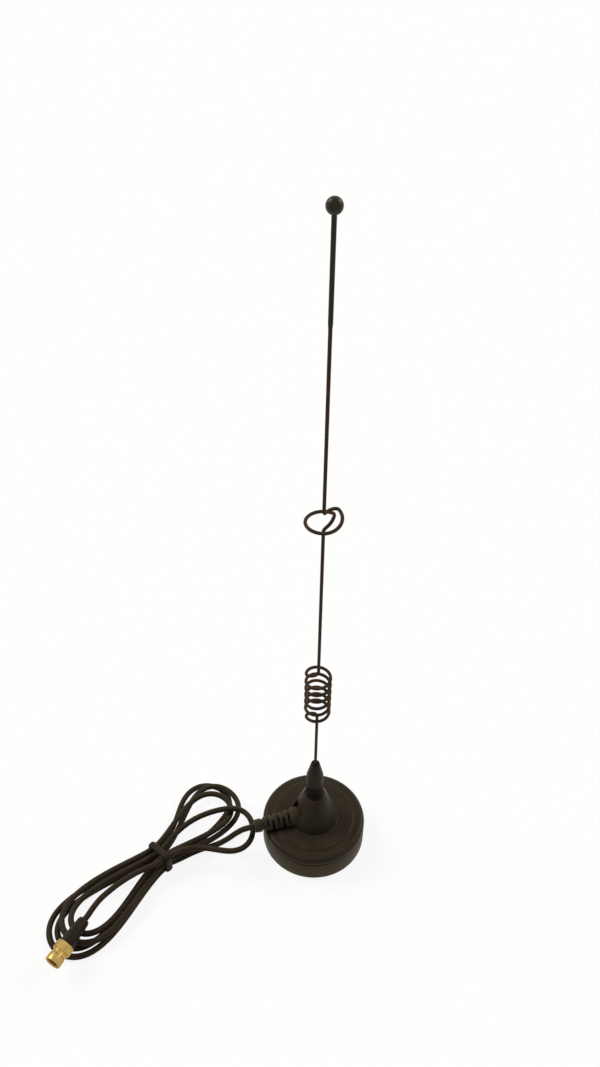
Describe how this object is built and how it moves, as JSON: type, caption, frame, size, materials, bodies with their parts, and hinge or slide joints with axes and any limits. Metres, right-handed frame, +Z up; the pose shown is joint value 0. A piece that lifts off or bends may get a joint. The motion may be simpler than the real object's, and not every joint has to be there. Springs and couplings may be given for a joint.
{
  "type": "magnetic-base whip antenna",
  "caption": "Omnidirectional whip antenna with a coiled spring-wire radiator, phasing loop and ball tip on a round magnetic base, with a tied coaxial cable and a screw-on plug.",
  "frame": {"origin": "centre of the base's underside, on the surface it stands on", "axes": "+Z up along the whip, the cable leaves the base along -X"},
  "size_m": [0.1563, 0.0817, 0.309],
  "materials": {
    "base_plastic": "fine-grained black moulding",
    "black_rubber": "matt black rubber",
    "plated_steel": "zinc plated",
    "ferrite": "dark sintered ferrite",
    "brass": "turned brass",
    "white_insulator": "white insulator",
    "copper": "tinned copper braid",
    "black_metal": "satin black",
    "black_wire": "black-coated spring wire",
    "gloss_black": "glossy black",
    "cable_jacket": "black cable jacket",
    "tie_plastic": "black coated tie",
    "gold": "gold plated",
    "red_rubber": "silicone gasket"
  },
  "bodies": {
    "base": {"base_cover": "base_plastic", "base_housing": "base_plastic", "bottom_pad": "black_rubber", "magnet_cup": "plated_steel", "ring_magnet": "ferrite", "ground_plate": "plated_steel", "whip_socket": "brass", "feed_core": "white_insulator", "shield_pigtail": "copper", "strain_relief": "black_rubber", "cable_lead": "cable_jacket", "cable_hank": "cable_jacket", "hank_tie": "tie_plastic", "cable_tail": "cable_jacket", "connector_boot": "black_rubber", "crimp_ferrule": "gold", "connector_body": "gold", "retaining_ring": "brass", "plug_insulator": "white_insulator", "centre_pin": "gold", "plug_gasket": "red_rubber"},
    "seal": {"whip_seal": "black_rubber"},
    "whip": {"whip_ferrule": "black_metal", "whip_stud": "brass", "lower_wire": "black_wire", "whip_coil": "black_wire"},
    "whip_top": {"upper_wire": "black_wire", "tip_sleeve": "gloss_black", "ball_tip": "gloss_black"},
    "nut": {"coupling_nut": "gold"}
  },
  "joints": [
    {"name": "whip_lift", "type": "slide", "parent": "base", "child": "seal", "axis": [0, 0, 1], "range_m": [0, 0.0056]},
    {"name": "whip_turn", "type": "hinge", "parent": "seal", "child": "whip", "pos_m": [0, 0, 0.034], "axis": [0, 0, 1], "range_deg": [0, 2520]},
    {"name": "whip_flex", "type": "hinge", "parent": "whip", "child": "whip_top", "pos_m": [0, 0, 0.103], "axis": [0, 1, 0], "range_deg": [-25, 25], "stiffness_Nm_per_rad": 0.1, "deforming": ["whip_coil"]},
    {"name": "nut_spin", "type": "hinge", "parent": "base", "child": "nut", "pos_m": [-0.12445, -0.03357, 0.0098], "axis": [-0.682, -0.7314, 0], "continuous": true}
  ],
  "couplings": [
    {"joint": "whip_turn", "follows": "whip_lift", "rad_per_m": 7854}
  ]
}
